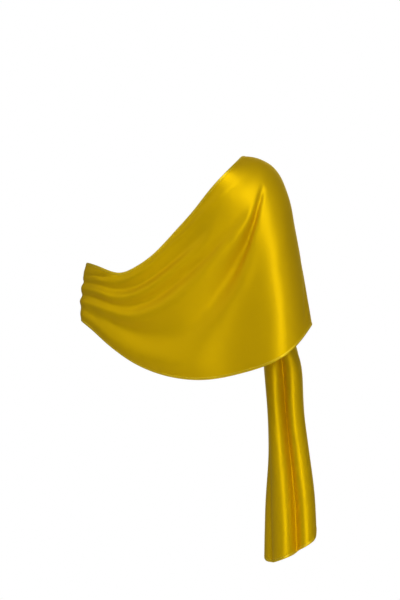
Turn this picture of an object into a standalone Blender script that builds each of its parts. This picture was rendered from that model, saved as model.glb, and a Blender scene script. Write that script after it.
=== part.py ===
"""Satin stole in its worn form, carried on one shoulder and gathered in the crook of each arm.

One rectangle of satin with a narrow turned hem on its four sides. The cloth is a thin wall whose middle
surface is lofted through cross sections. Each section runs over the cloth's width, from the upper long
edge (share 0) to the lower long edge (share 1). Folds are ridges and troughs that run lengthwise.
"""

import math

import bpy
import numpy as np

# Walls, hems and gaps, in metres.
CLOTH_WALL = 0.0016
HEM_WALL = 0.0022
HEM_WIDTH = 0.006
SEAM_GAP = 0.0004
# Where the rows meet an edge very slantwise, the gap is measured as if they met it at this sine.
LEAST_SLANT = 0.5

# The sections are laid out facing the stretch over the back, in millimetres, and then turned to the
# part's own axes: +X to the side with the shoulder fall, +Y to the front of the worn form, +Z up.
MM = 0.001
VIEW_TURN = math.radians(20)
# The place under the cloth at the shoulder that carries it, in the same layout.
SHOULDER_REST = (132, -36, 286)
# How strongly the folds stand out: 1 as worn, 0 smooth. A crisp fold's tip is rounded off a little.
FOLD_SCALE = 1.0
TIP_ROUNDING = 0.01
# Half steps for reading the cloth's normals and its sizes: millimetres along it, and a share across it.
NORMAL_STEPS = (0.1, 0.0005)
SIZE_STEPS = (0.5, 0.005)
# Cells over the cloth's width in each solid.
CELLS_ACROSS = 32
SATIN_COLOUR = (0.62, 0.42, 0.01, 1)
SATIN_ROUGHNESS = 0.38

# One row for each cross section: its name, then four points over the width, each as (across, inwards
# from the back, up). The first and last are the long edges, and the two between steer the curve that joins
# them, as in a cubic curve.
SECTIONS = (
    # name              upper edge        steer near upper    steer near lower    lower edge
    ("left end",        (-146, 52, -104), (-124, 66, -108),   (-98, 100, -112),   (-76, 116, -114)),
    ("left inside",     (-146, 56, -6),   (-124, 72, -4),     (-102, 106, -2),    (-82, 124, 0)),
    ("left over arm",   (-176, 82, 44),   (-158, 102, 52),    (-130, 134, 52),    (-114, 152, 42)),
    ("left forearm",    (-214, 104, 54),  (-200, 130, 36),    (-172, 172, 12),    (-152, 182, -8)),
    ("left front",      (-230, 82, 67),   (-232, 104, 34),    (-222, 130, -12),   (-206, 140, -46)),
    ("left elbow",      (-239, 46, 79),   (-250, 46, 45),     (-256, 46, -5),     (-251, 48, -44)),
    ("left arm back",   (-208, -12, 69),  (-216, -10, 30),    (-222, -4, -20),    (-226, 10, -64)),
    ("left gap",        (-170, -38, 57),  (-178, -40, 10),    (-182, -38, -50),   (-180, -22, -102)),
    ("left back",       (-138, -58, 67),  (-140, -64, 10),    (-138, -66, -65),   (-130, -50, -134)),
    ("left waist",      (-98, -76, 94),   (-98, -88, 30),     (-90, -92, -65),    (-78, -78, -154)),
    ("spine",           (-57, -92, 136),  (-50, -110, 65),    (-40, -116, -50),   (-28, -102, -163)),
    ("mid back",        (-17, -112, 180), (2, -134, 115),     (22, -136, -5),     (27, -124, -162)),
    ("right blade",     (20, -134, 226),  (52, -152, 180),    (84, -156, 45),     (86, -150, -149)),
    ("blade to arm",    (56, -130, 265),  (100, -150, 244),   (136, -180, 90),    (143, -178, -129)),
    ("arm back",        (79, -86, 289),   (136, -120, 284),   (164, -186, 180),   (190, -186, -98)),
    ("shoulder",        (91, -38, 298),   (186, -52, 292),    (181, -92, 238),    (229, -116, -52)),
    ("shoulder front",  (104, 8, 282),    (160, 8, 288),      (184, -28, 226),    (227, -72, -58)),
    ("chest",           (116, 34, 236),   (158, 48, 246),     (198, 22, 186),     (223, -26, -56)),
    ("bust",            (126, 34, 170),   (164, 70, 176),     (212, 58, 112),     (222, 10, -44)),
    ("above forearm",   (134, 14, 106),   (160, 66, 114),     (206, 82, 74),      (218, 50, -14)),
    ("over forearm",    (140, -8, 50),    (152, 42, 62),      (184, 72, 68),      (190, 98, 40)),
    ("inside forearm",  (146, -24, 0),    (126, 12, 8),       (148, 58, 22),      (150, 92, 2)),
    ("below forearm",   (184, -22, -58),  (136, -42, -54),    (126, 24, -46),     (146, 86, -56)),
    ("tail top",        (206, 28, -118),  (222, -62, -114),   (98, -26, -114),    (146, 68, -120)),
    ("tail upper",      (214, 40, -200),  (236, -68, -198),   (106, -38, -198),   (148, 60, -202)),
    ("tail middle",     (222, 42, -298),  (248, -72, -297),   (116, -44, -299),   (150, 52, -303)),
    ("tail lower",      (236, 42, -404),  (264, -76, -409),   (132, -50, -425),   (140, 46, -425)),
    ("right end",       (240, 42, -478),  (270, -78, -488),   (140, -54, -575),   (136, 42, -545)),
)

# One row for each fold: its name, how crisp its line is (2 is a soft swell), and the places that it runs
# through, each as (section counted from 0, share of the width, half width, height). Half widths and
# heights are in millimetres, and a height is outwards if positive. Counts may stop between sections.
FOLDS = (
    ("upper edge roll", 2.0, ((6.9, 0.09, 9, 0), (8, 0.08, 10, 4), (9, 0.07, 10, 5), (10.5, 0.09, 13, 5),
                              (12, 0.13, 18, 4), (13.4, 0.2, 22, 0))),
    ("arm crease", 1.6, ((4.9, 0.28, 5, 0), (5.6, 0.2, 5, -2), (6.1, 0.14, 6, -3), (6.7, 0.05, 7, 0))),
    ("first trough", 2.0, ((0, 0.24, 7, -4), (2, 0.25, 6, -5), (3.4, 0.29, 6, -4), (4.6, 0.34, 5, -1),
                           (5.6, 0.33, 6, -1.5), (6.7, 0.24, 8, -3), (8, 0.17, 9, -4), (9.1, 0.18, 10, -5),
                           (10, 0.17, 11, -4), (10.9, 0.21, 13, -2), (11.8, 0.25, 13, 0))),
    ("first ridge", 2.0, ((0, 0.38, 7, 4), (2, 0.38, 6, 5), (3.4, 0.41, 6, 3), (4.6, 0.44, 5, 1),
                          (5.3, 0.43, 6, 1), (6.6, 0.34, 8, 3), (8, 0.27, 9, 4), (9, 0.265, 10, 4),
                          (10, 0.26, 11, 3), (11, 0.255, 13, 2), (12, 0.25, 13, 0))),
    ("second trough", 2.0, ((0, 0.52, 7, -5), (2, 0.52, 6, -5), (3.4, 0.54, 5, -4), (5.3, 0.53, 5, -1.5),
                            (6.7, 0.43, 7, -3), (8.1, 0.375, 9, -5), (9.1, 0.355, 11, -6),
                            (10.2, 0.325, 12, -5), (11.3, 0.335, 13, -4), (12.4, 0.345, 13, -4),
                            (13, 0.34, 14, -3), (13.6, 0.29, 15, -2), (14.3, 0.2, 15, 0))),
    ("long ridge", 2.0, ((0, 0.66, 7, 4), (2, 0.66, 6, 5), (3.4, 0.66, 6, 4), (4.6, 0.63, 6, 1),
                         (5.6, 0.57, 7, 1.5), (6.7, 0.53, 10, 3), (8.1, 0.51, 13, 5), (9.15, 0.5, 15, 6),
                         (10.1, 0.445, 16, 7), (11.1, 0.405, 15, 8), (11.8, 0.4, 14, 7), (12.5, 0.395, 13, 6),
                         (13.2, 0.385, 12, 4), (13.9, 0.37, 12, 0))),
    ("deep crease", 1.8, ((10.5, 0.56, 18, 0), (11.3, 0.505, 16, -4), (11.8, 0.475, 14, -7),
                          (12.2, 0.465, 13, -9), (12.7, 0.455, 12, -10), (13.2, 0.44, 11, -9),
                          (13.7, 0.41, 11, -5), (14.3, 0.36, 12, 0))),
    ("soft ridge", 2.0, ((10.2, 0.75, 26, 0), (11.2, 0.66, 22, 1), (11.7, 0.585, 18, 1.5),
                         (12.2, 0.535, 15, 1), (12.9, 0.5, 12, 0))),
    ("waist trough", 2.0, ((0, 0.79, 7, -4), (2, 0.79, 6, -5), (3.4, 0.78, 6, -3), (4.6, 0.75, 7, -1),
                           (5.6, 0.72, 10, -1.5), (7, 0.69, 18, -3), (9, 0.68, 25, -2), (10.2, 0.69, 25, 0))),
    ("lower roll", 2.0, ((0, 0.91, 7, 3), (2, 0.91, 6, 4), (3.4, 0.9, 6, 3), (4.6, 0.88, 8, 1),
                         (5.5, 0.86, 11, 2), (6.9, 0.85, 16, 5), (8, 0.86, 18, 6), (9.2, 0.875, 20, 5.5),
                         (10.3, 0.89, 22, 4), (11.6, 0.9, 24, 0))),
    ("elbow crease", 1.8, ((14.4, 0.98, 9, 0), (14.7, 0.94, 10, -2), (14.95, 0.88, 10, -2),
                           (15.4, 0.8, 10, 0))),
    ("front roll 1", 2.0, ((15.4, 0.1, 14, 0), (17, 0.12, 13, 4), (18.6, 0.13, 11, 4), (20, 0.12, 9, 3),
                           (22, 0.14, 10, 1), (24, 0.16, 16, 4), (27.2, 0.16, 20, 4))),
    ("front trough 1", 2.0, ((15.8, 0.2, 14, 0), (17.2, 0.21, 13, -5), (18.6, 0.24, 11, -5),
                             (20, 0.24, 9, -4), (22, 0.25, 10, -2), (23.5, 0.24, 10, 0))),
    ("front roll 2", 2.0, ((15.6, 0.33, 16, 0), (17, 0.33, 15, 5), (18.6, 0.36, 13, 5), (20, 0.36, 10, 4),
                           (22, 0.36, 11, 4), (24, 0.34, 18, 11), (27.2, 0.34, 22, 11))),
    ("front trough 2", 1.9, ((16.2, 0.47, 14, 0), (17.5, 0.48, 13, -5), (19, 0.49, 11, -5),
                             (20.5, 0.5, 9, -4), (22, 0.5, 10, -7), (23, 0.5, 13, -16), (25, 0.5, 15, -20),
                             (27.2, 0.5, 20, -15))),
    ("front roll 3", 2.0, ((15.4, 0.62, 18, 0), (17, 0.62, 16, 5), (18.4, 0.62, 13, 4), (20.5, 0.63, 11, 3),
                           (22, 0.65, 11, 4), (24, 0.66, 17, 9), (27.2, 0.66, 19, 9))),
    ("front trough 3", 2.0, ((15.9, 0.74, 14, 0), (17.3, 0.75, 12, -4), (18.4, 0.75, 12, -3),
                             (20.2, 0.76, 10, -2), (22, 0.78, 9, -3), (24.5, 0.8, 9, -2), (26, 0.8, 11, -7),
                             (27.2, 0.8, 12, -8))),
    ("front roll 4", 2.0, ((15.2, 0.88, 14, 0), (16.8, 0.87, 13, 4), (18.4, 0.87, 11, 3), (20.2, 0.88, 10, 2),
                           (22, 0.9, 9, 3), (24, 0.9, 12, 4), (27.2, 0.92, 14, 5))),
)

# The stretches of cloth, by the sections where each starts and stops, and its cells along.
STRETCHES = (
    # name              first  last  cells
    ("left_end",        0,     2,    6),
    ("left_arm_wrap",   2,     6,    16),
    ("back_drape",      6,     14,   32),
    ("shoulder_fall",   14,    19,   20),
    ("right_arm_wrap",  19,    23,   20),
    ("right_tail",      23,    27,   12),
)
LAST_SECTION = len(SECTIONS) - 1


def spline_through(knots, values):
    """A function that reads the smooth curve through the values, given as rows, at any places."""
    count = len(knots)
    step = np.diff(knots)
    system = np.eye(count)
    bends = np.zeros_like(values)
    for i in range(1, count - 1):
        system[i, i - 1 : i + 2] = step[i - 1], 2 * (step[i - 1] + step[i]), step[i]
        slope_after = (values[i + 1] - values[i]) / step[i]
        slope_before = (values[i] - values[i - 1]) / step[i - 1]
        bends[i] = 6 * (slope_after - slope_before)
    bends = np.linalg.solve(system, bends)

    def read(places):
        i = np.clip(np.searchsorted(knots, places) - 1, 0, count - 2)
        width = step[i][..., None]
        after = (places - knots[i])[..., None]
        before = width - after
        arch = (bends[i] * before**3 + bends[i + 1] * after**3) / (6 * width)
        rise = (values[i] / width - bends[i] * width / 6) * before
        fall = (values[i + 1] / width - bends[i + 1] * width / 6) * after
        return arch + rise + fall

    return read


def eased_through(knots, values, places):
    """Reads values that ease from each knot to the next, level at every knot."""
    i = np.clip(np.searchsorted(knots, places) - 1, 0, len(knots) - 2)
    t = np.clip((places - knots[i]) / (knots[i + 1] - knots[i]), 0, 1)
    return values[i] + (values[i + 1] - values[i]) * t * t * (3 - 2 * t)


def cubic(steering, shares):
    """Points at shares of the width on the curves that the four points of each section steer."""
    v = shares[..., None]
    near = (1 - v) ** 3 * steering[..., 0, :] + 3 * v * (1 - v) ** 2 * steering[..., 1, :]
    far = 3 * v**2 * (1 - v) * steering[..., 2, :] + v**3 * steering[..., 3, :]
    return near + far


STEERING = np.array([row[1:] for row in SECTIONS], float)
MIDDLES = STEERING.mean(axis=1)
# How far along the cloth's middle each section lies, in millimetres.
STATIONS = np.concatenate([[0], np.cumsum(np.linalg.norm(np.diff(MIDDLES, axis=0), axis=1))])
WIDTH_SHARES = np.tile(np.linspace(0, 1, 41), (len(SECTIONS), 1))
WIDTH_STEPS = np.diff(cubic(STEERING[:, None], WIDTH_SHARES), axis=1)
SECTION_WIDTHS = np.linalg.norm(WIDTH_STEPS, axis=-1).sum(axis=1)
read_steering = spline_through(STATIONS, STEERING.reshape(len(SECTIONS), 12))
read_widths = spline_through(STATIONS, SECTION_WIDTHS[:, None])


def place_of(section):
    return np.interp(section, np.arange(len(SECTIONS)), STATIONS)


def smooth_cloth(places, shares):
    """The cloth before its folds, in millimetres, at places along and shares of the width."""
    return cubic(read_steering(places).reshape(*places.shape, 4, 3), shares)


def outward(surface, places, shares):
    """Unit normals of a surface on the outer side of the worn form."""
    step_along, step_across = NORMAL_STEPS
    ahead = surface(np.minimum(places + step_along, STATIONS[-1]), shares)
    behind = surface(np.maximum(places - step_along, 0), shares)
    below = surface(places, np.minimum(shares + step_across, 1))
    above = surface(places, np.maximum(shares - step_across, 0))
    normals = np.cross(below - above, ahead - behind)
    return normals / np.linalg.norm(normals, axis=-1, keepdims=True)


def fold_path(points):
    """A fold's places, the smooth curve of its shares, its half widths and its heights."""
    table = np.array(points, float)
    places = place_of(table[:, 0])
    return places, spline_through(places, table[:, 1:2]), table[:, 2], table[:, 3]


FOLD_PATHS = [(row[1], *fold_path(row[2])) for row in FOLDS]


def fold_heights(places, shares):
    """How far the folds push each point of the cloth outwards, in millimetres."""
    widths = read_widths(places)[..., 0]
    heights = np.zeros_like(places)
    for crisp, knots, read_share, half_widths, peaks in FOLD_PATHS:
        inside = np.clip(places, knots[0], knots[-1])
        off = (shares - read_share(inside)[..., 0]) * widths / eased_through(knots, half_widths, inside)
        peak = eased_through(knots, peaks, inside)
        heights += peak * np.exp(-((off**2 + TIP_ROUNDING) ** (crisp / 2)))
    return FOLD_SCALE * heights


def folded_cloth(places, shares):
    """The cloth's middle surface with its folds, in millimetres."""
    normals = outward(smooth_cloth, places, shares)
    return smooth_cloth(places, shares) + normals * fold_heights(places, shares)[..., None]


def to_part_axes(points):
    """Turns layout points to the part's axes, in metres, with the origin at the shoulder rest."""
    across, away, up = np.moveaxis((points - np.array(SHOULDER_REST)) * MM, -1, 0)
    right = across * math.cos(VIEW_TURN) - away * math.sin(VIEW_TURN)
    forward = across * math.sin(VIEW_TURN) + away * math.cos(VIEW_TURN)
    return np.stack([right, forward, up], axis=-1)


def square_sizes(places, shares):
    """Millimetres of cloth for each unit of place and of share, measured square to the other one."""
    step_along, step_across = SIZE_STEPS
    near = np.clip(places, step_along, STATIONS[-1] - step_along)
    inner = np.clip(np.broadcast_to(shares, places.shape), step_across, 1 - step_across)
    along = folded_cloth(near + step_along, inner) - folded_cloth(near - step_along, inner)
    across = folded_cloth(near, inner + step_across) - folded_cloth(near, inner - step_across)
    along, across = along / (2 * step_along), across / (2 * step_across)
    along_size, across_size = np.linalg.norm(along, axis=-1), np.linalg.norm(across, axis=-1)
    slant = np.linalg.norm(np.cross(along, across), axis=-1) / (along_size * across_size)
    square = np.maximum(slant, LEAST_SLANT)
    return along_size * square, across_size * square


def places_between(sections, insets, shares, cells):
    """Places of a patch's grid, in rows from one section to another, drawn in at both by metres."""
    limits = [np.full_like(shares, place_of(section)) for section in sections]
    start = limits[0] + insets[0] / MM / square_sizes(limits[0], shares)[0]
    stop = limits[1] - insets[1] / MM / square_sizes(limits[1], shares)[0]
    return start + (stop - start) * np.linspace(0, 1, cells + 1)[:, None]


def shares_between(places, limits, insets, cells):
    """Shares of the width for each row of places, drawn in at both limits by metres."""
    low = limits[0] + insets[0] / MM / square_sizes(places[:, 0], limits[0])[1]
    high = limits[1] - insets[1] / MM / square_sizes(places[:, -1], limits[1])[1]
    return low[:, None] + (high - low)[:, None] * np.linspace(0, 1, cells + 1)


def wall_triangles(corner):
    """Triangles of a closed wall over a grid of corners, and how many of them are not on its rim.

    Every four-sided cell is split the same way, so that rims that face each other stay parallel.
    """
    near, right = corner[:-1, :-1].ravel(), corner[:-1, 1:].ravel()
    left, far = corner[1:, :-1].ravel(), corner[1:, 1:].ravel()
    front = np.concatenate([np.stack([near, right, far], axis=1), np.stack([near, far, left], axis=1)])
    back = front[:, ::-1] + corner.size
    ring = np.concatenate([corner[0, :-1], corner[:-1, -1], corner[-1, :0:-1], corner[:0:-1, 0]])
    after = np.roll(ring, -1)
    rising = ring < after
    ring_back, after_back = ring + corner.size, after + corner.size
    rim = np.concatenate([
        np.stack([after, ring, np.where(rising, after_back, ring_back)], axis=1),
        np.stack([np.where(rising, ring, after), ring_back, after_back], axis=1),
    ])
    return np.concatenate([front, back, rim]), 2 * len(front)


def wall_object(name, places, shares, thickness, rest):
    """A closed wall of cloth: the folded surface over a grid, moved half the thickness each way."""
    middle = folded_cloth(places, shares)
    lean = outward(folded_cloth, places, shares) * thickness / MM / 2
    points = to_part_axes(np.stack([middle + lean, middle - lean])).reshape(-1, 3)
    centre = (points.min(axis=0) + points.max(axis=0)) / 2
    triangles, smooth_count = wall_triangles(np.arange(places.size).reshape(places.shape))
    mesh = bpy.data.meshes.new(name)
    mesh.from_pydata((points - centre).tolist(), [], triangles.tolist())
    mesh.polygons.foreach_set("use_smooth", np.arange(len(triangles)) < smooth_count)
    mesh.materials.append(satin_material(f"{name} satin"))
    wall = bpy.data.objects.new(name, mesh)
    wall.location = centre
    wall.parent = rest
    bpy.context.scene.collection.objects.link(wall)


def satin_material(name):
    satin = bpy.data.materials.new(name)
    satin.use_nodes = True
    shader = satin.node_tree.nodes["Principled BSDF"]
    shader.inputs["Base Color"].default_value = SATIN_COLOUR
    shader.inputs["Roughness"].default_value = SATIN_ROUGHNESS
    shader.inputs["Metallic"].default_value = 0.0
    return satin


def build_stretches(rest):
    """The panels between the hems. Returns the places of their rows, which the long hems share."""
    beside_hem = HEM_WIDTH + SEAM_GAP
    across = np.linspace(0, 1, CELLS_ACROSS + 1)
    rows = []
    for name, first, last, cells in STRETCHES:
        start = beside_hem if first == 0 else SEAM_GAP / 2
        stop = beside_hem if last == LAST_SECTION else SEAM_GAP / 2
        places = places_between((first, last), (start, stop), across, cells)
        shares = shares_between(places, (0, 1), (beside_hem, beside_hem), CELLS_ACROSS)
        wall_object(name, places, shares, CLOTH_WALL, rest)
        rows.append(places if first == 0 else places[1:])
    return np.concatenate(rows)


def build_long_hem(name, share, insets, edge_places, rest):
    """The hem on one long edge, from corner to corner."""
    rows = np.concatenate([[0], edge_places, [STATIONS[-1]]])
    places = np.repeat(rows[:, None], 2, axis=1)
    shares = shares_between(places, (share, share), insets, 1)
    wall_object(name, places, shares, HEM_WALL, rest)


def build_end_hem(name, section, insets, rest):
    """The hem on one short end, between the long hems."""
    beside_hem = HEM_WIDTH + SEAM_GAP
    across = np.linspace(0, 1, CELLS_ACROSS + 1)
    places = places_between((section, section), insets, across, 1)
    shares = shares_between(places, (0, 1), (beside_hem, beside_hem), CELLS_ACROSS)
    wall_object(name, places, shares, HEM_WALL, rest)


def build():
    for old in list(bpy.data.objects):
        bpy.data.objects.remove(old)
    rest = bpy.data.objects.new("shoulder_rest", None)
    bpy.context.scene.collection.objects.link(rest)
    rows = build_stretches(rest)
    build_long_hem("hem_upper", 0, (0, -HEM_WIDTH), rows[:, 0], rest)
    build_long_hem("hem_lower", 1, (-HEM_WIDTH, 0), rows[:, -1], rest)
    build_end_hem("hem_left_end", 0, (0, -HEM_WIDTH), rest)
    build_end_hem("hem_right_end", LAST_SECTION, (-HEM_WIDTH, 0), rest)


build()
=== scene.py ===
import math

import bpy
import numpy as np
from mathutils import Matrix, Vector


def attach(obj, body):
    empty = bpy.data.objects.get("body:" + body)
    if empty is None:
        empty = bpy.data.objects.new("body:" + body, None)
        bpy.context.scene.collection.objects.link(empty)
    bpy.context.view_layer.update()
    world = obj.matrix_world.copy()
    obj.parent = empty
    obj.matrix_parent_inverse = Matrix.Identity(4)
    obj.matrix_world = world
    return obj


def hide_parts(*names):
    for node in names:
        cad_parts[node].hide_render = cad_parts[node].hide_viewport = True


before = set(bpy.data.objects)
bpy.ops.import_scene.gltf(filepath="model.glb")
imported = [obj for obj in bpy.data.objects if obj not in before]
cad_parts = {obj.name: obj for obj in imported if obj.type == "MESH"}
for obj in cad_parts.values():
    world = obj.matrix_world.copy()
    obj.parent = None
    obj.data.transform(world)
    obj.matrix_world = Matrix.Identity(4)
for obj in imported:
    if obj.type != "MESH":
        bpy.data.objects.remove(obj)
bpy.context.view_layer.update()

# The cloth
# One long rectangle of satin, glossy on its face and dull on its reverse. It goes over the left forearm,
# round that elbow, across the back, over the right shoulder, and under the right elbow to a hanging end.
# It is draped by hand, and its own grip and weight hold it.

MM = 0.001
VIEW_TURN = math.radians(20)
SHOULDER_REST = (132, -36, 286)
CUT_WIDTH = 0.45
CLOTH_THICKNESS = 0.0007
CELLS_ACROSS = 116

# Cross sections of the drape in millimetres (across, away, up): the upper edge, two points that steer the
# curve between the edges, and the lower edge.
SECTIONS = (
    # name              upper edge        steer near upper    steer near lower    lower edge
    ("left end",        (-146, 52, -104), (-124, 66, -108),   (-98, 100, -112),   (-76, 116, -114)),
    ("left inside",     (-146, 56, -6),   (-124, 72, -4),     (-102, 106, -2),    (-82, 124, 0)),
    ("left over arm",   (-176, 82, 44),   (-158, 102, 52),    (-130, 134, 52),    (-114, 152, 42)),
    ("left forearm",    (-214, 104, 54),  (-200, 130, 36),    (-172, 172, 12),    (-152, 182, -8)),
    ("left front",      (-230, 82, 67),   (-232, 104, 34),    (-222, 130, -12),   (-206, 140, -46)),
    ("left elbow",      (-239, 46, 79),   (-250, 46, 45),     (-256, 46, -5),     (-251, 48, -44)),
    ("left arm back",   (-208, -12, 69),  (-216, -10, 30),    (-222, -4, -20),    (-226, 10, -64)),
    ("left gap",        (-170, -38, 57),  (-178, -40, 10),    (-182, -38, -50),   (-180, -22, -102)),
    ("left back",       (-138, -58, 67),  (-140, -64, 10),    (-138, -66, -65),   (-130, -50, -134)),
    ("left waist",      (-98, -76, 94),   (-98, -88, 30),     (-90, -92, -65),    (-78, -78, -154)),
    ("spine",           (-57, -92, 136),  (-50, -110, 65),    (-40, -116, -50),   (-28, -102, -163)),
    ("mid back",        (-17, -112, 180), (2, -134, 115),     (22, -136, -5),     (27, -124, -162)),
    ("right blade",     (20, -134, 226),  (52, -152, 180),    (84, -156, 45),     (86, -150, -149)),
    ("blade to arm",    (56, -130, 265),  (100, -150, 244),   (136, -184, 90),    (143, -184, -129)),
    ("arm back",        (79, -86, 289),   (136, -120, 284),   (164, -184, 180),   (190, -181, -98)),
    ("shoulder",        (91, -38, 298),   (186, -52, 292),    (181, -92, 238),    (229, -116, -52)),
    ("shoulder front",  (104, 8, 282),    (160, 8, 288),      (184, -28, 226),    (227, -72, -58)),
    ("chest",           (116, 34, 236),   (158, 48, 246),     (198, 22, 186),     (223, -26, -56)),
    ("bust",            (126, 34, 170),   (164, 70, 176),     (212, 58, 112),     (222, 10, -44)),
    ("above forearm",   (134, 14, 106),   (160, 66, 114),     (206, 82, 74),      (218, 50, -14)),
    ("over forearm",    (140, -8, 50),    (152, 42, 62),      (184, 72, 68),      (190, 98, 40)),
    ("inside forearm",  (146, -24, 0),    (126, 12, 8),       (148, 58, 22),      (150, 92, 2)),
    ("below forearm",   (184, -22, -58),  (136, -42, -54),    (126, 24, -46),     (146, 86, -56)),
    ("tail top",        (206, 28, -118),  (222, -62, -114),   (98, -26, -114),    (146, 68, -120)),
    ("tail upper",      (214, 40, -200),  (236, -68, -198),   (106, -38, -198),   (148, 60, -202)),
    ("tail middle",     (222, 42, -298),  (248, -72, -297),   (116, -44, -299),   (150, 52, -303)),
    ("tail lower",      (236, 42, -404),  (264, -76, -409),   (132, -50, -425),   (140, 46, -425)),
    ("right end",       (240, 42, -478),  (270, -78, -488),   (140, -54, -575),   (136, 42, -545)),
)

# Rows of the mesh between sections, closer together where the cloth shows most.
ROWS = ((0, 2, 20), (2, 6, 54), (6, 14, 150), (14, 19, 66), (19, 23, 46), (23, 27, 50))

# Folds, named by what they do: how crisp (2 is a soft swell), then the points that each passes, as
# (section, share of the width, half width in mm, height in mm, outwards if positive).
FOLDS = (
    ("upper edge roll", 2.0, ((6.9, 0.13, 9, 0), (8, 0.11, 10, 4), (9, 0.1, 11, 5), (10.5, 0.11, 13, 5),
                              (12, 0.14, 17, 4), (13.4, 0.2, 22, 0))),
    ("arm crease", 1.6, ((4.9, 0.28, 5, 0), (5.6, 0.2, 5, -2), (6.1, 0.15, 6, -4), (6.7, 0.06, 7, 0))),
    ("first trough", 2.0, ((0, 0.24, 7, -4), (2, 0.25, 6, -5), (3.4, 0.29, 6, -4), (4.6, 0.34, 5, -2),
                           (5.6, 0.34, 6, -3), (6.7, 0.25, 9, -5), (8, 0.22, 11, -6), (9.1, 0.21, 13, -6),
                           (10, 0.215, 14, -5), (10.9, 0.235, 16, -3), (11.8, 0.27, 16, 0))),
    ("first ridge", 2.0, ((0, 0.38, 7, 4), (2, 0.38, 6, 5), (3.4, 0.41, 6, 3), (4.6, 0.44, 5, 1),
                          (5.3, 0.45, 6, 2), (6.6, 0.35, 12, 5), (8, 0.315, 15, 6), (9, 0.3, 18, 6),
                          (10, 0.29, 20, 5), (11, 0.29, 21, 3), (12, 0.28, 20, 0))),
    ("second trough", 2.0, ((0, 0.52, 7, -5), (2, 0.52, 6, -5), (3.4, 0.54, 5, -4), (5.3, 0.56, 6, -3),
                            (6.7, 0.46, 9, -5), (8, 0.415, 13, -7), (9.1, 0.39, 15, -8),
                            (10.2, 0.37, 15, -7), (11.3, 0.38, 15, -5), (12.2, 0.375, 15, -3),
                            (13.2, 0.36, 16, 0))),
    ("long ridge", 2.0, ((0, 0.66, 7, 4), (2, 0.66, 6, 5), (3.4, 0.66, 6, 4), (4.6, 0.66, 6, 1),
                         (5.6, 0.66, 8, 2), (6.7, 0.55, 13, 4), (8, 0.525, 19, 6), (9.1, 0.505, 23, 7),
                         (10.1, 0.49, 26, 8), (11, 0.47, 26, 9), (11.6, 0.455, 24, 8), (12.2, 0.44, 20, 6),
                         (12.7, 0.425, 17, 4), (13.4, 0.4, 14, 0))),
    ("deep crease", 2.0, ((5, 0.73, 8, 0), (6.3, 0.7, 11, -2), (7, 0.66, 14, -4), (8, 0.67, 20, -6),
                          (9, 0.69, 25, -6), (10, 0.7, 28, -6), (10.8, 0.67, 27, -8), (11.4, 0.625, 25, -11),
                          (12, 0.565, 21, -14), (12.5, 0.51, 17, -14), (13, 0.455, 13, -11),
                          (13.5, 0.415, 12, -6), (14, 0.38, 11, 0))),
    ("soft ridge", 2.0, ((10.2, 0.84, 28, 0), (11.2, 0.77, 24, 2), (11.7, 0.72, 20, 3), (12.2, 0.67, 18, 3),
                         (12.9, 0.6, 14, 0))),
    ("waist trough", 2.0, ((0, 0.79, 7, -4), (2, 0.79, 6, -5), (3.4, 0.78, 6, -3), (4.6, 0.76, 7, -1),
                           (5.6, 0.74, 8, 0))),
    ("lower roll", 2.0, ((0, 0.91, 7, 3), (2, 0.91, 6, 4), (3.4, 0.9, 6, 3), (4.6, 0.88, 8, 1),
                         (5.5, 0.87, 11, 2), (6.9, 0.87, 18, 6), (8, 0.885, 22, 8), (9.2, 0.9, 24, 8),
                         (10.3, 0.92, 26, 6), (11.6, 0.94, 28, 0))),
    ("elbow crease", 1.8, ((14.4, 0.98, 9, 0), (14.7, 0.94, 10, -2), (14.95, 0.88, 10, -2),
                           (15.4, 0.8, 10, 0))),
    ("front roll 1", 2.0, ((15.4, 0.1, 14, 0), (17, 0.12, 13, 4), (18.6, 0.13, 11, 4), (20, 0.12, 9, 3),
                           (22, 0.14, 10, 1), (24, 0.16, 16, 0))),
    ("front trough 1", 2.0, ((15.8, 0.2, 14, 0), (17.2, 0.21, 13, -5), (18.6, 0.24, 11, -5),
                             (20, 0.24, 9, -4), (22, 0.25, 10, -2), (23.5, 0.24, 10, 0))),
    ("front roll 2", 2.0, ((15.6, 0.33, 16, 0), (17, 0.33, 15, 5), (18.6, 0.36, 13, 5), (20, 0.36, 10, 4),
                           (22, 0.36, 11, 4), (24, 0.33, 26, 8), (27.2, 0.33, 30, 8))),
    ("front trough 2", 1.9, ((16.2, 0.47, 14, 0), (17.5, 0.48, 13, -5), (19, 0.49, 11, -5),
                             (20.5, 0.5, 9, -4), (22, 0.5, 10, -7), (23, 0.5, 11, -16), (25, 0.5, 12, -20),
                             (27.2, 0.5, 14, -18))),
    ("front roll 3", 2.0, ((15.4, 0.62, 18, 0), (17, 0.62, 16, 5), (18.4, 0.62, 13, 4), (20.5, 0.63, 11, 3),
                           (22, 0.65, 11, 4), (24, 0.66, 22, 8), (27.2, 0.66, 24, 8))),
    ("front trough 3", 2.0, ((15.9, 0.74, 14, 0), (17.3, 0.75, 12, -4), (18.4, 0.75, 12, -3),
                             (20.2, 0.76, 10, -2), (22, 0.78, 9, -2), (24.5, 0.83, 9, 0), (26, 0.84, 11, -5),
                             (27.2, 0.84, 12, -8))),
    ("front roll 4", 2.0, ((15.2, 0.88, 14, 0), (16.8, 0.87, 13, 4), (18.4, 0.87, 11, 3), (20.2, 0.88, 10, 2),
                           (22, 0.9, 9, 3), (24, 0.9, 12, 0))),
)

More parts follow.
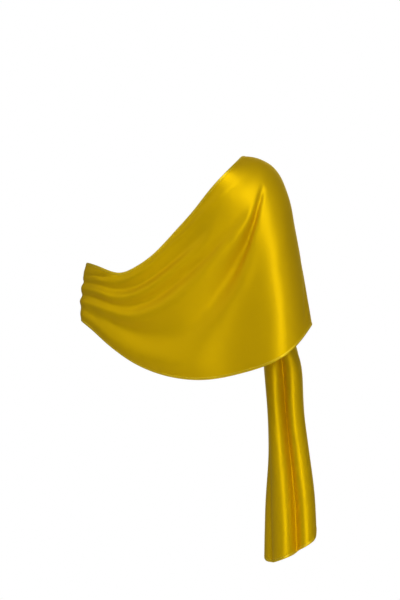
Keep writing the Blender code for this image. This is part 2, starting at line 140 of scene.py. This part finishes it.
# Slack in the cloth between its folds: long shallow waves. Each is (waves along, waves across, lean,
# height in mm), and they start at seeded places.
SLACK_WAVES = ((3.1, 4.3, 0.6, 0.5), (4.7, 7.9, -0.8, 0.35), (7.3, 11.3, 1.1, 0.22), (11.9, 15.7, -1.6, 0.12))
SLACK_SEED = 11
TIP_ROUNDING = 0.01
PLACE_STEP = 0.2
SHARE_STEP = 0.0005
WIDTH_SAMPLES = 41
STREAK_SHARE = 0.5
LEAST_STREAK = 0.3
GLOSS_DRIFT = 0.1


def spline_through(knots, values):
    count = len(knots)
    step = np.diff(knots)
    system = np.eye(count)
    bends = np.zeros_like(values)
    for i in range(1, count - 1):
        system[i, i - 1 : i + 2] = step[i - 1], 2 * (step[i - 1] + step[i]), step[i]
        bends[i] = 6 * ((values[i + 1] - values[i]) / step[i] - (values[i] - values[i - 1]) / step[i - 1])
    bends = np.linalg.solve(system, bends)

    def read(places):
        i = np.clip(np.searchsorted(knots, places) - 1, 0, count - 2)
        width = step[i][..., None]
        after = (places - knots[i])[..., None]
        before = width - after
        arch = (bends[i] * before**3 + bends[i + 1] * after**3) / (6 * width)
        return (
            arch
            + (values[i] / width - bends[i] * width / 6) * before
            + (values[i + 1] / width - bends[i + 1] * width / 6) * after
        )

    return read


def eased_through(knots, values, places):
    i = np.clip(np.searchsorted(knots, places) - 1, 0, len(knots) - 2)
    t = np.clip((places - knots[i]) / (knots[i + 1] - knots[i]), 0, 1)
    return values[i] + (values[i + 1] - values[i]) * t * t * (3 - 2 * t)


def cubic(steering, shares):
    v = shares[..., None]
    near = (1 - v) ** 3 * steering[..., 0, :] + 3 * v * (1 - v) ** 2 * steering[..., 1, :]
    return near + 3 * v**2 * (1 - v) * steering[..., 2, :] + v**3 * steering[..., 3, :]


steering = np.array([row[1:] for row in SECTIONS], float)
middles = steering.mean(axis=1)
stations = np.concatenate([[0], np.cumsum(np.linalg.norm(np.diff(middles, axis=0), axis=1))])
even_shares = np.tile(np.linspace(0, 1, WIDTH_SAMPLES), (len(SECTIONS), 1))
section_widths = np.linalg.norm(np.diff(cubic(steering[:, None], even_shares), axis=1), axis=-1).sum(axis=1)
read_steering = spline_through(stations, steering.reshape(len(SECTIONS), 12))
read_widths = spline_through(stations, section_widths[:, None])


def place_of(section):
    return np.interp(section, np.arange(len(SECTIONS)), stations)


def smooth_cloth(places, shares):
    return cubic(read_steering(places).reshape(*places.shape, 4, 3), shares)


def outward(surface, places, shares):
    ahead = surface(np.minimum(places + PLACE_STEP, stations[-1]), shares)
    behind = surface(np.maximum(places - PLACE_STEP, 0), shares)
    below = surface(places, np.minimum(shares + SHARE_STEP, 1))
    above = surface(places, np.maximum(shares - SHARE_STEP, 0))
    normals = np.cross(below - above, ahead - behind)
    return normals / np.linalg.norm(normals, axis=-1, keepdims=True)


def fold_path(points):
    table = np.array(points, float)
    places = place_of(table[:, 0])
    return places, spline_through(places, table[:, 1:2]), table[:, 2], table[:, 3]


fold_paths = [(row[1], *fold_path(row[2])) for row in FOLDS]
slack_starts = np.random.default_rng(SLACK_SEED).uniform(0, 2 * math.pi, (len(SLACK_WAVES), 2))


def fold_heights(places, shares):
    widths = read_widths(places)[..., 0]
    heights = np.zeros_like(places)
    for crisp, knots, read_share, half_widths, peaks in fold_paths:
        inside = np.clip(places, knots[0], knots[-1])
        off = (shares - read_share(inside)[..., 0]) * widths / eased_through(knots, half_widths, inside)
        heights += eased_through(knots, peaks, inside) * np.exp(-((off**2 + TIP_ROUNDING) ** (crisp / 2)))
    along = 2 * math.pi * places / stations[-1]
    across = 2 * math.pi * shares
    for wave, (start_along, start_across) in zip(SLACK_WAVES, slack_starts):
        waves_along, waves_across, lean, height = wave
        bend = lean * np.sin(along * waves_along * 0.5 + start_across)
        heights += height * np.sin(along * waves_along + start_along) * np.sin(
            across * waves_across / 2 + bend + start_across
        )
    return heights


def folded_cloth(places, shares):
    normals = outward(smooth_cloth, places, shares)
    return smooth_cloth(places, shares) + normals * fold_heights(places, shares)[..., None]


def to_part_axes(points):
    across, away, up = np.moveaxis((points - np.array(SHOULDER_REST)) * MM, -1, 0)
    right = across * math.cos(VIEW_TURN) - away * math.sin(VIEW_TURN)
    forward = across * math.sin(VIEW_TURN) + away * math.cos(VIEW_TURN)
    return np.stack([right, forward, up], axis=-1)


def mesh_object(name, points, faces, materials):
    mesh = bpy.data.meshes.new(name)
    mesh.from_pydata(points.tolist(), [], [list(face) for face in faces])
    mesh.polygons.foreach_set("use_smooth", [len(face) == 4 for face in faces])
    for material in materials:
        mesh.materials.append(material)
    made = bpy.data.objects.new(name, mesh)
    bpy.context.scene.collection.objects.link(made)
    return made


def put_uv(made, uv_of_points):
    corners = np.zeros(len(made.data.loops), int)
    made.data.loops.foreach_get("vertex_index", corners)
    layer = made.data.uv_layers.new(name="cloth")
    layer.data.foreach_set("uv", uv_of_points[corners].ravel())


def new_group(name, inputs, outputs):
    group = bpy.data.node_groups.new(name, "ShaderNodeTree")
    for socket_name, kind, value in inputs:
        socket = group.interface.new_socket(socket_name, in_out="INPUT", socket_type=kind)
        socket.default_value = value
    for socket_name, kind in outputs:
        group.interface.new_socket(socket_name, in_out="OUTPUT", socket_type=kind)
    return group, group.nodes.new("NodeGroupInput"), group.nodes.new("NodeGroupOutput")


def math_node(tree, operation, first, second):
    node = tree.nodes.new("ShaderNodeMath")
    node.operation = operation
    for socket, value in zip(node.inputs, (first, second)):
        if isinstance(value, (int, float)):
            socket.default_value = value
        else:
            tree.links.new(value, socket)
    return node.outputs[0]


def satin_weave_group():
    """Threads run along the cloth: fine warp streaks, with a slow drift in gloss and shade."""
    group, given, out = new_group(
        "satin weave",
        (
            ("Threads per Metre", "NodeSocketFloat", 2600.0),
            ("Streak Length", "NodeSocketFloat", 0.06),
            ("Height", "NodeSocketFloat", 0.00001),
        ),
        (("Streak", "NodeSocketFloat"), ("Drift", "NodeSocketFloat"), ("Normal", "NodeSocketVector")),
    )
    uv = group.nodes.new("ShaderNodeUVMap")
    uv.uv_map = "cloth"
    split = group.nodes.new("ShaderNodeSeparateXYZ")
    group.links.new(uv.outputs[0], split.inputs[0])
    threads = math_node(group, "MULTIPLY", split.outputs[0], given.outputs["Threads per Metre"])
    lengths = math_node(group, "DIVIDE", split.outputs[1], given.outputs["Streak Length"])
    cell = group.nodes.new("ShaderNodeCombineXYZ")
    group.links.new(threads, cell.inputs[0])
    group.links.new(lengths, cell.inputs[1])
    streak = group.nodes.new("ShaderNodeTexNoise")
    streak.inputs["Scale"].default_value = 1.0
    streak.inputs["Detail"].default_value = 2.0
    group.links.new(cell.outputs[0], streak.inputs["Vector"])
    drift = group.nodes.new("ShaderNodeTexNoise")
    drift.inputs["Scale"].default_value = 14.0
    drift.inputs["Detail"].default_value = 1.5
    group.links.new(uv.outputs[0], drift.inputs["Vector"])
    bump = group.nodes.new("ShaderNodeBump")
    bump.inputs["Strength"].default_value = 1.0
    group.links.new(streak.outputs[0], bump.inputs["Height"])
    group.links.new(given.outputs["Height"], bump.inputs["Distance"])
    group.links.new(streak.outputs[0], out.inputs["Streak"])
    group.links.new(drift.outputs[0], out.inputs["Drift"])
    group.links.new(bump.outputs[0], out.inputs["Normal"])
    return group


satin_weave = satin_weave_group()


def satin_material(name, colour, deep_colour, roughness, metallic, sheen, weave_height):
    """Satin whose shade and gloss follow its threads."""
    material = bpy.data.materials.new(name)
    material.use_nodes = True
    tree = material.node_tree
    shader = tree.nodes["Principled BSDF"]
    shader.inputs["Metallic"].default_value = metallic
    shader.inputs["Sheen Weight"].default_value = sheen
    shader.inputs["Sheen Roughness"].default_value = 0.4
    shader.inputs["Sheen Tint"].default_value = (*colour, 1)
    shader.inputs["IOR"].default_value = 2.0
    shader.inputs["Specular IOR Level"].default_value = 0.5
    shader.inputs["Specular Tint"].default_value = (1.0, 1.0, 0.01, 1)
    weave = tree.nodes.new("ShaderNodeGroup")
    weave.node_tree = satin_weave
    weave.inputs["Height"].default_value = weave_height
    blend = tree.nodes.new("ShaderNodeMix")
    blend.data_type = "RGBA"
    blend.inputs["A"].default_value = (*deep_colour, 1)
    blend.inputs["B"].default_value = (*colour, 1)
    streak_share = math_node(tree, "MULTIPLY", weave.outputs["Streak"], STREAK_SHARE)
    blend_share = math_node(tree, "ADD", streak_share, LEAST_STREAK)
    tree.links.new(blend_share, blend.inputs["Factor"])
    tree.links.new(blend.outputs["Result"], shader.inputs["Base Color"])
    gloss_drift = math_node(tree, "MULTIPLY", weave.outputs["Drift"], GLOSS_DRIFT)
    gloss = math_node(tree, "ADD", gloss_drift, roughness - GLOSS_DRIFT / 2)
    tree.links.new(gloss, shader.inputs["Roughness"])
    tree.links.new(weave.outputs["Normal"], shader.inputs["Normal"])
    return material


satin_face = satin_material(
    "satin face",
    colour=(0.74, 0.464, 0.002),
    deep_colour=(0.66, 0.402, 0.001),
    roughness=0.54,
    metallic=0.6,
    sheen=0.0,
    weave_height=0.00001,
)
satin_reverse = satin_material(
    "satin reverse",
    colour=(0.6, 0.41, 0.02),
    deep_colour=(0.5, 0.33, 0.012),
    roughness=0.62,
    metallic=0.2,
    sheen=0.1,
    weave_height=0.00002,
)

places = np.concatenate([
    np.linspace(place_of(first), place_of(last), rows + 1)[first > 0 :] for first, last, rows in ROWS
])
shares = np.linspace(0, 1, CELLS_ACROSS + 1)
place_grid, share_grid = np.meshgrid(places, shares, indexing="ij")
middle = folded_cloth(place_grid, share_grid)
lean = outward(folded_cloth, place_grid, share_grid) * CLOTH_THICKNESS / MM / 2
shell_points = to_part_axes(np.stack([middle + lean, middle - lean])).reshape(-1, 3)
corner = np.arange(place_grid.size).reshape(place_grid.shape)
face_quads = np.stack([corner[:-1, :-1], corner[:-1, 1:], corner[1:, 1:], corner[1:, :-1]], axis=-1)
face_quads = face_quads.reshape(-1, 4)
reverse_quads = face_quads[:, ::-1] + corner.size
ring = np.concatenate([corner[0, :-1], corner[:-1, -1], corner[-1, :0:-1], corner[:0:-1, 0]])
ring_after = np.roll(ring, -1)
rim_quads = np.stack([ring_after, ring, ring + corner.size, ring_after + corner.size], axis=1)
shell_faces = np.concatenate([face_quads, reverse_quads, rim_quads])
cloth = mesh_object("stole_cloth", shell_points, shell_faces, (satin_face, satin_reverse))
reverse_start, rim_start = len(face_quads), 2 * len(face_quads)
slots = np.zeros(len(cloth.data.polygons), int)
slots[reverse_start:rim_start] = 1
cloth.data.polygons.foreach_set("material_index", slots)
cloth_uv = np.stack([share_grid * CUT_WIDTH, place_grid * MM], axis=-1).reshape(-1, 2)
put_uv(cloth, np.concatenate([cloth_uv, cloth_uv]))
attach(cloth, "root")
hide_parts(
    "left_end", "left_arm_wrap", "back_drape", "shoulder_fall", "right_arm_wrap", "right_tail"
)

# The hems
# A narrow hem on all four sides: the raw edge is turned over twice, pressed and stitched, so the edge is
# four layers thick and slightly rounded. The long hems run from corner to corner.

HEM_WIDTH = 0.006
HEM_THICKNESS = 0.0018
HEM_OVERHANG = 0.2
EDGE_PLACE_STEP = 2.0
EDGE_SHARE_STEP = 0.005
HEM_PROFILE = 12
HEM_SIDE_ROUNDING = 0.7
HEM_FLAT_ROUNDING = 0.8
HEM_TURN_WIDTH = 0.002
LONG_HEM_STEPS = 900
END_HEM_STEPS = 160
hem_turn = np.linspace(0, 2 * math.pi, HEM_PROFILE, endpoint=False)
# A flat oval: nearly square in its middle and rounded at both sides.
profile_out = np.sign(np.cos(hem_turn)) * np.abs(np.cos(hem_turn)) ** HEM_SIDE_ROUNDING
profile_up = np.sign(np.sin(hem_turn)) * np.abs(np.sin(hem_turn)) ** HEM_FLAT_ROUNDING

satin_hem = satin_material(
    "satin hem",
    colour=(0.8, 0.56, 0.02),
    deep_colour=(0.68, 0.46, 0.008),
    roughness=0.5,
    metallic=0.65,
    sheen=0.0,
    weave_height=0.00002,
)


def edge_frames(places, shares, inwards):
    """Points on an edge, with the unit ways into the cloth and out of its face."""
    points = folded_cloth(places, shares)
    if inwards[0]:
        into = folded_cloth(places + inwards[0] * EDGE_PLACE_STEP, shares) - points
    else:
        into = folded_cloth(places, shares + inwards[1] * EDGE_SHARE_STEP) - points
    into /= np.linalg.norm(into, axis=-1, keepdims=True)
    return points, into, outward(folded_cloth, places, shares)


def hem_object(node, places, shares, inwards):
    points, into, out = edge_frames(places, shares, inwards)
    half_width, half_thick = HEM_WIDTH / MM / 2, HEM_THICKNESS / MM / 2
    centre = points + into * (half_width - HEM_OVERHANG)
    rings = (
        centre[:, None]
        + into[:, None] * profile_out[None, :, None] * half_width
        + out[:, None] * profile_up[None, :, None] * half_thick
    )
    count = len(places)
    corner = np.arange(count * HEM_PROFILE).reshape(count, HEM_PROFILE)
    after = np.roll(corner, -1, axis=1)
    sides = np.stack([corner[:-1], after[:-1], after[1:], corner[1:]], axis=-1).reshape(-1, 4)
    faces = sides.tolist() + [corner[0, ::-1].tolist(), corner[-1].tolist()]
    made = mesh_object(node + "_rolled", to_part_axes(rings).reshape(-1, 3), faces, (satin_hem,))
    along = np.concatenate([[0], np.cumsum(np.linalg.norm(np.diff(points, axis=0), axis=1))]) * MM
    hem_uv = np.stack(np.broadcast_arrays(hem_turn[None] * HEM_TURN_WIDTH, along[:, None]), axis=-1)
    put_uv(made, hem_uv.reshape(-1, 2))
    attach(made, "root")
    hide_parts(node)
    return made


# Every hem by its node's name, with where it runs and which way the cloth lies from it.
edge_places = np.linspace(0, stations[-1], LONG_HEM_STEPS)
end_shares = np.linspace(0, 1, END_HEM_STEPS)
HEM_EDGES = (
    ("hem_upper", edge_places, np.zeros(LONG_HEM_STEPS), (0, 1)),
    ("hem_lower", edge_places, np.ones(LONG_HEM_STEPS), (0, -1)),
    ("hem_left_end", np.zeros(END_HEM_STEPS), end_shares, (1, 0)),
    ("hem_right_end", np.full(END_HEM_STEPS, stations[-1]), end_shares, (-1, 0)),
)
hems = [hem_object(*edge) for edge in HEM_EDGES]

# The stitching
# One row of straight machine stitches close to each hem's inner fold, in a fine gold thread. It goes
# through all the layers, so it shows on the face and on the reverse, and it holds the hem down.

STITCH_PITCH = 0.003
STITCH_LENGTH = 0.0023
THREAD_THICKNESS = 0.00045
STITCH_UNEVENNESS = 0.12
STITCH_SEED = 5
# The row's place in millimetres: in from the cloth's edge, and up from the middle of the hem's thickness.
STITCH_FROM_EDGE = 4.6
STITCH_LIFT = 0.86
TWIST_SCALE = 1400.0

stitch_thread = bpy.data.materials.new("stitch thread")
stitch_thread.use_nodes = True
thread_tree = stitch_thread.node_tree
thread_shader = thread_tree.nodes["Principled BSDF"]
thread_shader.inputs["Roughness"].default_value = 0.5
thread_shader.inputs["Sheen Weight"].default_value = 0.2
thread_place = thread_tree.nodes.new("ShaderNodeTexCoord")
thread_twist = thread_tree.nodes.new("ShaderNodeTexNoise")
thread_twist.inputs["Scale"].default_value = TWIST_SCALE
thread_tree.links.new(thread_place.outputs["Object"], thread_twist.inputs["Vector"])
thread_shade = thread_tree.nodes.new("ShaderNodeMix")
thread_shade.data_type = "RGBA"
thread_shade.inputs["A"].default_value = (0.58, 0.38, 0.01, 1)
thread_shade.inputs["B"].default_value = (0.86, 0.62, 0.05, 1)
thread_tree.links.new(thread_twist.outputs[0], thread_shade.inputs["Factor"])
thread_tree.links.new(thread_shade.outputs["Result"], thread_shader.inputs["Base Color"])


def stitch_row_group():
    """Stitches at an even pitch along each line, laid along it, each a little longer or shorter."""
    group = bpy.data.node_groups.new("stitch row", "GeometryNodeTree")
    for name, kind in (
        ("Line", "NodeSocketGeometry"),
        ("Pitch", "NodeSocketFloat"),
        ("Stitch Length", "NodeSocketFloat"),
        ("Thread", "NodeSocketFloat"),
        ("Unevenness", "NodeSocketFloat"),
        ("Seed", "NodeSocketInt"),
        ("Material", "NodeSocketMaterial"),
    ):
        group.interface.new_socket(name, in_out="INPUT", socket_type=kind)
    group.interface.new_socket("Stitches", in_out="OUTPUT", socket_type="NodeSocketGeometry")
    given, out = group.nodes.new("NodeGroupInput"), group.nodes.new("NodeGroupOutput")
    line = group.nodes.new("GeometryNodeMeshToCurve")
    group.links.new(given.outputs["Line"], line.inputs[0])
    evenly = group.nodes.new("GeometryNodeResampleCurve")
    evenly.mode = "LENGTH"
    group.links.new(line.outputs[0], evenly.inputs["Curve"])
    group.links.new(given.outputs["Pitch"], evenly.inputs["Length"])
    along = group.nodes.new("GeometryNodeInputTangent")
    turn = group.nodes.new("FunctionNodeAlignRotationToVector")
    turn.axis = "Z"
    group.links.new(along.outputs[0], turn.inputs["Vector"])
    varied = group.nodes.new("FunctionNodeRandomValue")
    group.links.new(math_node(group, "SUBTRACT", 1.0, given.outputs["Unevenness"]), varied.inputs[2])
    group.links.new(math_node(group, "ADD", 1.0, given.outputs["Unevenness"]), varied.inputs[3])
    group.links.new(given.outputs["Seed"], varied.inputs["Seed"])
    half_thread = math_node(group, "MULTIPLY", given.outputs["Thread"], 0.5)
    half_length = math_node(group, "MULTIPLY", given.outputs["Stitch Length"], 0.5)
    size = group.nodes.new("ShaderNodeCombineXYZ")
    group.links.new(half_thread, size.inputs[0])
    group.links.new(half_thread, size.inputs[1])
    group.links.new(math_node(group, "MULTIPLY", half_length, varied.outputs[1]), size.inputs[2])
    stitch = group.nodes.new("GeometryNodeMeshIcoSphere")
    stitch.inputs["Subdivisions"].default_value = 1
    placed = group.nodes.new("GeometryNodeInstanceOnPoints")
    group.links.new(evenly.outputs[0], placed.inputs["Points"])
    group.links.new(stitch.outputs[0], placed.inputs["Instance"])
    group.links.new(turn.outputs[0], placed.inputs["Rotation"])
    group.links.new(size.outputs[0], placed.inputs["Scale"])
    real = group.nodes.new("GeometryNodeRealizeInstances")
    group.links.new(placed.outputs[0], real.inputs[0])
    smooth = group.nodes.new("GeometryNodeSetShadeSmooth")
    group.links.new(real.outputs[0], smooth.inputs[0])
    finish = group.nodes.new("GeometryNodeSetMaterial")
    group.links.new(smooth.outputs[0], finish.inputs["Geometry"])
    group.links.new(given.outputs["Material"], finish.inputs["Material"])
    group.links.new(finish.outputs[0], out.inputs[0])
    return group


stitch_row = stitch_row_group()
stitch_sockets = {
    item.name: item.identifier for item in stitch_row.interface.items_tree if item.in_out == "INPUT"
}


def stitching_object(node, places, shares, inwards):
    points, into, out = edge_frames(places, shares, inwards)
    row = points + into * STITCH_FROM_EDGE
    lines = to_part_axes(np.concatenate([row + out * STITCH_LIFT, row - out * STITCH_LIFT]))
    links = [(i, i + 1) for i in range(len(lines) - 1) if i + 1 != len(points)]
    mesh = bpy.data.meshes.new(node + "_stitch_line")
    mesh.from_pydata(lines.tolist(), links, [])
    made = bpy.data.objects.new(node + "_stitching", mesh)
    bpy.context.scene.collection.objects.link(made)
    modifier = made.modifiers.new("stitch row", "NODES")
    modifier.node_group = stitch_row
    for name, value in (
        ("Pitch", STITCH_PITCH),
        ("Stitch Length", STITCH_LENGTH),
        ("Thread", THREAD_THICKNESS),
        ("Unevenness", STITCH_UNEVENNESS),
        ("Seed", STITCH_SEED),
        ("Material", stitch_thread),
    ):
        modifier[stitch_sockets[name]] = value
    evaluated = made.evaluated_get(bpy.context.evaluated_depsgraph_get())
    stitches = bpy.data.meshes.new_from_object(evaluated)
    made.modifiers.clear()
    made.data = stitches
    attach(made, "root")
    return made


stitching = [stitching_object(*edge) for edge in HEM_EDGES]

# The studio
# A plain pale floor far below the hanging end, a large soft light above the camera with weaker ones round
# it, a gridded one on the hanging end, and an even white surround.

FLOOR_DROP = 1.4
FLOOR_RADIUS = 2.4
FLOOR_SIDES = 64
CAMERA_DISTANCE = 5.0
CAMERA_SENSOR = 36
CAMERA_AZIMUTH = 20
PICTURE_HEIGHT = 600
MM_PER_PIXEL = 2.1
SOFTBOX_DISTANCE = 3.4
SURROUND = 0.18

floor_material = bpy.data.materials.new("pale floor")
floor_material.use_nodes = True
floor_shader = floor_material.node_tree.nodes["Principled BSDF"]
floor_shader.inputs["Base Color"].default_value = (0.86, 0.85, 0.83, 1)
floor_shader.inputs["Roughness"].default_value = 0.8
turns = np.linspace(0, 2 * math.pi, FLOOR_SIDES, endpoint=False)
floor_points = np.stack(
    [FLOOR_RADIUS * np.cos(turns), FLOOR_RADIUS * np.sin(turns), np.full(FLOOR_SIDES, -FLOOR_DROP)], axis=1
)
floor = mesh_object("floor", floor_points, np.arange(FLOOR_SIDES)[None], (floor_material,))

world = bpy.data.worlds.new("studio")
world.use_nodes = True
bpy.context.scene.world = world
tree = world.node_tree
ray = tree.nodes.new("ShaderNodeLightPath")
backdrop = math_node(tree, "MULTIPLY", ray.outputs["Is Camera Ray"], 1 - SURROUND)
strength = math_node(tree, "ADD", backdrop, SURROUND)
tree.nodes["Background"].inputs["Color"].default_value = (1, 1, 1, 1)
tree.links.new(strength, tree.nodes["Background"].inputs["Strength"])

studio_centre = to_part_axes(np.array([0.0, 0.0, 0.0]))


def studio_way(azimuth, elevation):
    a, e = math.radians(azimuth), math.radians(elevation)
    return np.array([math.sin(a) * math.cos(e), -math.cos(a) * math.cos(e), math.sin(e)])


def point_at(thing, azimuth, elevation, distance, target):
    way = studio_way(azimuth, elevation)
    thing.location = target + way * distance
    thing.rotation_euler = Vector(-way).to_track_quat("-Z", "Y").to_euler()
    bpy.context.scene.collection.objects.link(thing)


def softbox(
    name, azimuth, elevation, size, power, target=studio_centre, distance=SOFTBOX_DISTANCE, spread=180
):
    light = bpy.data.lights.new(name, "AREA")
    light.size = size
    light.energy = power
    light.spread = math.radians(spread)
    point_at(bpy.data.objects.new(name, light), azimuth, elevation, distance, target)


softbox("key softbox", 20, 47, size=2.4, power=63)
softbox("front softbox", 30, 12, size=1.3, power=8.5)
softbox("left softbox", -58, 24, size=2.0, power=10)
softbox("right softbox", 84, 18, size=2.0, power=8)
softbox("rear softbox", 192, 12, size=2.6, power=30)
hanging_end_middle = to_part_axes(np.array([180.0, 0.0, -410.0]))
softbox("gridded softbox", 24, 2, size=1.2, power=1.1, target=hanging_end_middle, distance=1.8, spread=25)

camera_data = bpy.data.cameras.new("photo camera")
camera_data.sensor_fit = "VERTICAL"
camera_data.sensor_height = CAMERA_SENSOR
camera_data.lens = CAMERA_SENSOR * CAMERA_DISTANCE / (PICTURE_HEIGHT * MM_PER_PIXEL * MM)
camera = bpy.data.objects.new("photo camera", camera_data)
point_at(camera, CAMERA_AZIMUTH, 0, CAMERA_DISTANCE, studio_centre)
bpy.context.scene.camera = camera
bpy.context.scene.view_settings.view_transform = "Standard"
